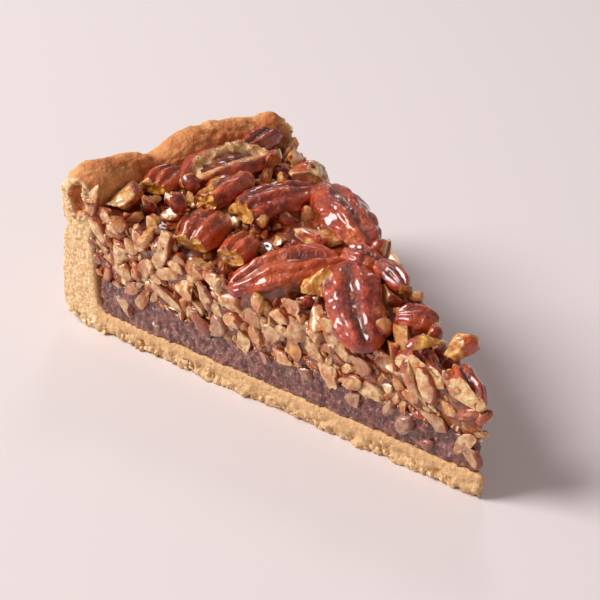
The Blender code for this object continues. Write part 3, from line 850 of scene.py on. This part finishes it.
def filled(chance, side, spots, custard_reach):
    """Rows for pieces thrown onto a cut face; the lowest ones take the custard's colour."""
    done = []
    for place, size in spots:
        inward = FRONT_IN if side > 0 else BACK_IN
        low = custard_reach - 0.25 * (place.z - 12)
        radius = math.hypot(place.x, place.y)
        crown = level(heap_height, radius, side * HALF) - place.z
        glaze = max(0.0, 0.75 - 0.28 * crown)
        slope = math.radians(chance.gauss(48, 32))
        done.append((place + Vector(inward) * chance.uniform(0.6, 1.6),
                     cut_turn(side, slope, chance.uniform(-0.7, 0.7)),
                     (size * 1.25, size * chance.uniform(0.6, 0.85), size * chance.uniform(0.5, 0.8)),
                     chance.uniform(-0.5, 0.5), chance.choice((0.05, 0.1, 0.2, 0.5, 0.9)) + glaze,
                     max(0.0, min(low, 0.9))))
    return done


def make_chopped_nuts(tree, small_shapes):
    """The chopped nuts: on both cut faces in three sizes, sunk in the custard, and on top."""
    pale = chopped_pecan("chopped pecan, sliced", "#C67C42", "#FADCA6", "#8A2F16", "#BA5A28", 0.3, 0.8)
    glazed = chopped_pecan("chopped pecan, glazed", "#C87E3A", "#F0CB8C", "#74180C", "#B4431C", 0.22, 1.0)
    large_shapes = shape_set("chunk", 20, 1, 3, (3, 4, 5, 6), (-0.35, 0.35))
    middle_shapes = shape_set("chip", 20, 5, 2, (3, 4, 5, 6), (-0.2, 0.2))
    chance = random.Random(11)

    def nuts_low(radius, angle):
        return level(custard_height, radius, angle)

    def nuts_high(radius, angle):
        return level(heap_height, radius, angle) - 0.5

    def base_top(radius, angle):
        return BASE + 2.0

    large, middle, small, sunken = [], [], [], []
    for side in (1, -1):
        taken = []
        if side > 0:
            large += listed(chance, SLICED, taken)
            sunken += listed(chance, SUNKEN, taken)
        draw = cut_spot(side, nuts_low, nuts_high)
        large += filled(chance, side, throw_points(chance, 420, (4.4, 6.8), draw, taken, 0.84), 0.1)
        middle += filled(chance, side, throw_points(chance, 1500, (2.6, 4.0), draw, taken, 0.72), 0.2)
        small += filled(chance, side, throw_points(chance, 3600, (1.2, 2.4), draw, taken, 0.66), 0.3)
        draw = cut_spot(side, base_top, nuts_low)
        sunken += filled(chance, side, throw_points(chance, 60, (1.6, 3.6), draw, taken, 1.6), 0.9)
    strew("sliced_pieces", tree, large_shapes, large, pale, "nut_layer")
    strew("sliced_chips", tree, middle_shapes, middle, pale, "nut_layer")
    strew("sliced_bits", tree, small_shapes, small, pale, "nut_layer")
    strew("sunken_pieces", tree, large_shapes, sunken, pale, "custard")

    top, crumbs, taken = [], [], []
    for radius, degrees, height, length, width, syrup in ON_TOP:
        place = at(radius, math.radians(degrees), height)
        taken.append((place, length))
        top.append((place, any_turn(chance), (length, width, width * 0.9), -1.5, syrup, 0.0))
    for place, size in throw_points(chance, 900, (3.4, 5.6), top_spot, taken, 0.8):
        top.append((place, any_turn(chance), (size * 1.2, size * 0.85, size * 0.7), -1.0,
                    chance.uniform(0, 0.9), 0.0))
    for place, size in throw_points(chance, 2500, (1.4, 2.6), top_spot, taken, 0.8):
        crumbs.append((place, any_turn(chance), (size * 1.2, size, size * 0.8), -1.0,
                       chance.uniform(0, 1.2), 0.0))
    strew("top_pieces", tree, middle_shapes, top, glazed, "nut_layer")
    strew("top_crumbs", tree, small_shapes, crumbs, glazed, "nut_layer")


# ------------------------------------------------------------ large nuts

# name, length width height in mm, turn tilt roll in degrees, part kept, kind, cream, bright
# kind: "half" lies skin up, "open" lies flesh up, "lump" is a bare broken piece
NUTS = (
    ("nut_back_half", (29, 12, 9), (-16, -4, -12), (-1.0, 1.0), "half", 0, 0.3),
    ("nut_broad", (24, 13, 9), (86, 0, -8), (-0.7, 1.0), "half", 0.1, 0.1),
    ("nut_curved_half", (25, 11, 8), (88, 3, 16), (-1.0, 1.0), "open", 0.8, 0.3),
    ("nut_long_half", (25, 11, 8), (57, 14, 12), (-1.0, 1.0), "half", 0, 0.8),
    ("nut_drooping_half", (25, 12, 8), (-29, -17, 10), (-1.0, 1.0), "half", 0, 0.1),
    ("nut_hollow_half", (18, 10, 8), (112, 0, -20), (-0.8, 0.9), "open", 0.0, 0.5),
    ("nut_three_sided", (14, 10, 9), (113, 12, 0), (-0.7, 0.9), "half", 0.1, 0.6),
    ("nut_rim", (15, 7, 6), (108, 0, 0), (-1.0, 0.8), "half", 0, 0),
    ("nut_round_end", (12, 8, 7), (110, 8, 0), (-0.6, 1.0), "half", 0, 0.9),
    ("nut_cut_end", (13, 8, 6), (98, 0, 0), (-0.6, 0.9), "lump", 0.5, 0),
    ("nut_edge_broken", (13, 8, 7), (100, 0, 0), (-0.7, 0.8), "lump", 0.8, 0.3),
    ("nut_red_end", (11, 8, 7), (110, 8, 0), (-0.6, 1.0), "half", 0, 1.0),
    ("nut_slab", (16, 7, 5), (23, 0, 10), (-0.8, 0.8), "lump", 0.4, 0.5),
    ("nut_dark_broken", (11, 7, 6), (15, 0, 0), (-0.6, 0.9), "half", 0, 0.4),
    ("nut_amber", (10, 6, 6), (88, 0, 0), (-0.8, 0.8), "lump", 0.0, 1),
    ("nut_edge_dark", (13, 6, 6), (-8, 0, 0), (-0.8, 0.9), "half", 0, 0),
    ("nut_edge_red", (10, 7, 6), (32, 0, 0), (-0.8, 0.8), "half", 0, 0.3),
    ("nut_tip_large", (14, 8, 7), (-20, -6, 0), (-0.7, 0.8), "half", 0.9, 0.6),
    ("nut_tip_small", (12, 7, 8), (-18, -12, 0), (-0.7, 0.9), "half", 0.9, 0.3),
    ("nut_thin_amber", (11, 5, 3.5), (75, 0, 0), (-0.8, 0.8), "lump", 0.0, 1),
    ("nut_upright", (9, 4.5, 4.5), (60, 20, 0), (-0.8, 0.9), "lump", 0.2, 1),
)
NUT_MIDDLES = {}
for row in NUTS:
    low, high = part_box(row[0])
    NUT_MIDDLES[row[0]] = ((low + high) / 2 - PIE_MIDDLE) / MM


def nut_way(turns):
    turn, tilt, roll = (math.radians(value) for value in turns)
    return Matrix.Rotation(turn, 3, "Z") @ Matrix.Rotation(-tilt, 3, "Y") @ Matrix.Rotation(roll, 3, "X")


NUT_PLACES = [(NUT_MIDDLES[name], nut_way(turns).transposed(), size) for name, size, turns, *_ in NUTS]
# how far inside the front cut the knife went through these
KNIFE = {"nut_tip_large": 0.3, "nut_tip_small": -0.4, "nut_cut_end": 0.4}
ALONG = 72
AROUND = 64


def lump_shape(size, kept, seed):
    """A bare piece broken off a nut on all sides, with a little skin left on it."""
    points, faces, skin = chopped_shape(random.Random(seed), 4, 5, 0.1)
    fine = 0.04 * rough_noise(points, 0.16, seed)
    points = points * (1 + fine)[:, None] * (size[0] * (kept[1] - kept[0]) / 2, size[1], size[2])
    flesh = 1 - skin * ramp(0.0, 0.4, soft_noise(points, 3, seed))
    return points, faces, flesh, np.zeros(len(points))


def pecan_shape(size, kept, flesh_up, seed):
    """Points of a pecan half in millimetres, lying along X with its furrowed back up."""
    length, width, height = size
    first, last = kept
    steps = np.sin(np.linspace(-math.pi / 2, math.pi / 2, ALONG)) * 0.5 + 0.5
    turn = np.linspace(0, 2 * math.pi, AROUND, endpoint=False)
    a, t = np.meshgrid(first + (last - first) * steps, turn, indexing="ij")
    a, t = a.ravel(), t.ravel()
    full = np.sqrt(np.clip(1 - np.abs(a) ** 2.5, 0.0004, 1))
    spot = np.stack([a * length / 2, np.cos(t) * width / 2, np.sin(t) * height / 2], 1)
    back = np.sin(t) > 0
    from_top = t - math.pi / 2 + 0.22 * soft_noise(spot, 6, seed)
    groove = 0.40 * np.exp(-(from_top / 0.26) ** 2)
    for offset, depth in ((0.72, 0.09), (-0.8, 0.11)):
        groove = groove + depth * np.exp(-((from_top + offset) / 0.16) ** 2)
    groove = np.where(back, groove * ramp(1.02, 0.8, np.abs(a)), 0.0)
    lumps = 0.15 * soft_noise(spot, 3.2, seed + 3) + 0.07 * soft_noise(spot, 1.6, seed + 4)
    lumps = lumps + 0.09 * soft_noise(spot, 7.0, seed + 5)
    swell = full * (1 - groove + lumps)
    up = np.sin(t) * np.where(back, 1.0, 0.5)
    if flesh_up:
        hollow = np.exp(-(np.cos(t) / 0.45) ** 2) * 0.75 * ramp(1.0, 0.6, np.abs(a))
        up = np.where(back, np.sin(t) * (1 - hollow) * 0.85, np.sin(t))
        swell = full * (1 + 1.4 * lumps)
    x = a * length / 2
    y = swell * np.cos(t) * width / 2 + 0.07 * length * (a * a - 0.4) * math.cos(seed)
    z = swell * up * height / 2 - 0.1 * height * a * a
    points = np.stack([x, y, z], 1)

    flesh = np.zeros(len(points))
    if flesh_up:
        bare = back * ramp(0.8, 0.45, np.abs(np.cos(t)))
        flesh = bare * ramp(-0.3, 0.1, soft_noise(spot, 3.2, seed + 5))
        points[:, 2] += 1.1 * rough_noise(points, 2.6, seed + 6) * flesh
    faces = []
    for i in range(ALONG - 1):
        for j in range(AROUND):
            k = (j + 1) % AROUND
            faces.append((i * AROUND + j, i * AROUND + k, (i + 1) * AROUND + k, (i + 1) * AROUND + j))
    rings = [points]
    bare_rings = [flesh]
    count = len(points)
    for end, start in ((first, 0), (last, (ALONG - 1) * AROUND)):
        broken = abs(end) < 1
        rim = points[start:start + AROUND]
        if broken:
            flesh[start:start + AROUND] = 1
            rim[:, 0] += 1.1 * soft_noise(rim, 1.8, seed + 9)
        outer = start
        for part in (0.8, 0.6, 0.4, 0.2):
            ring = rim.mean(0) + (rim - rim.mean(0)) * part
            if broken:
                ring[:, 0] += 0.7 * soft_noise(ring, 1.5, seed + 12) * (1 - part)
            rings.append(ring)
            bare_rings.append(np.full(AROUND, float(broken)))
            for j in range(AROUND):
                k = (j + 1) % AROUND
                faces.append((outer + j, outer + k, count + k, count + j))
            outer = count
            count += AROUND
        faces.append(tuple(range(outer, outer + AROUND)))
    points = np.vstack(rings)
    # painted shade in the furrows, darkest where the grooves are deepest
    dark = np.zeros(len(points))
    dark[:len(groove)] = np.clip(groove * 2.6 - 0.1, 0, 1)
    return points, faces, np.concatenate(bare_rings), dark


def make_large_nuts(material):
    for number, (name, size, turns, kept, kind, cream, bright) in enumerate(NUTS):
        if kind == "lump":
            points, faces, flesh, furrow = lump_shape(size, kept, number + 40)
        else:
            points, faces, flesh, furrow = pecan_shape(size, kept, kind == "open", number + 1)
        points = points @ np.array(nut_way(turns)).T
        points = points - (points.min(0) + points.max(0)) / 2 + np.array(NUT_MIDDLES[name])
        if name in KNIFE:
            over = np.maximum(KNIFE[name] - points @ FRONT_IN, 0)
            points = points + over[:, None] * FRONT_IN
            flesh = np.maximum(flesh, over > 0)
        patch = soft_noise(points, 5, number)
        mesh = new_mesh(name, points, faces, flesh=flesh, furrow=furrow,
                        cream=np.full(len(points), cream),
                        bright=np.clip(bright * (0.5 + 0.8 * patch), 0, 1))
        bm = bmesh.new()
        bm.from_mesh(mesh)
        bmesh.ops.recalc_face_normals(bm, faces=bm.faces)
        bm.to_mesh(mesh)
        bm.free()
        slot = next(part["material_slot"] for part in frame["record"]["subparts"] if part["node"] == name)
        add_piece(name + "_whole", mesh, material, slot, name)


# ------------------------------------------------------------ floor, light and camera

def make_floor():
    bpy.ops.mesh.primitive_plane_add(size=4, location=(0, 0, 0))
    floor = bpy.context.object
    floor.name = "floor"
    material, tree, shader = new_material("painted board", Roughness=0.6)
    shader.inputs["Base Color"].default_value = colour("#E6DEDE")
    floor.data.materials.append(material)


def add_light(name, place, target, size, power, tint):
    data = bpy.data.lights.new(name, "AREA")
    data.shape = "DISK"
    data.size = size
    data.energy = power
    data.color = tint
    light = bpy.data.objects.new(name, data)
    light.location = place
    light.rotation_euler = (Vector(target) - Vector(place)).to_track_quat("-Z", "Y").to_euler()
    bpy.context.scene.collection.objects.link(light)


def make_light():
    add_light("window", (-0.92, -1.12, 1.25), (0, 0, 0), 1.0, 42.0, (1.0, 0.985, 0.975))
    add_light("lamp behind", (-1.1, 1.0, 1.25), (0, 0, 0), 0.4, 3.0, (1.0, 0.96, 0.98))
    world = bpy.data.worlds.new("room")
    bpy.context.scene.world = world
    world.use_nodes = True
    world.node_tree.nodes["Background"].inputs["Color"].default_value = colour("#F8E8E6")
    world.node_tree.nodes["Background"].inputs["Strength"].default_value = 0.30


def make_camera():
    data = bpy.data.cameras.new("camera")
    data.sensor_width = 36
    data.lens = 18 / math.tan(math.radians(24.3 / 2))
    camera = bpy.data.objects.new("camera", data)
    place = Vector((150.6, -159.0, 170.8)) * MM + PIE_MIDDLE
    target = Vector((-70.0, 6.7, 11.5)) * MM + PIE_MIDDLE
    camera.location = place
    camera.rotation_euler = (target - place).to_track_quat("-Z", "Y").to_euler()
    bpy.context.scene.collection.objects.link(camera)
    bpy.context.scene.camera = camera


make_camera()
make_floor()
make_light()
PASTRY = shortcrust_pastry()
make_crust(PASTRY)
make_custard(brown_custard())
make_core(nut_syrup())
STREWING = strewing_nodes()
BITS = shape_set("bit", 12, 3, 1, (2, 3, 4, 5), (0.0, 0.0))
make_crumbs(STREWING, BITS, PASTRY)
make_chopped_nuts(STREWING, BITS)
make_large_nuts(glazed_pecan())
bpy.context.scene.view_settings.view_transform = "Standard"
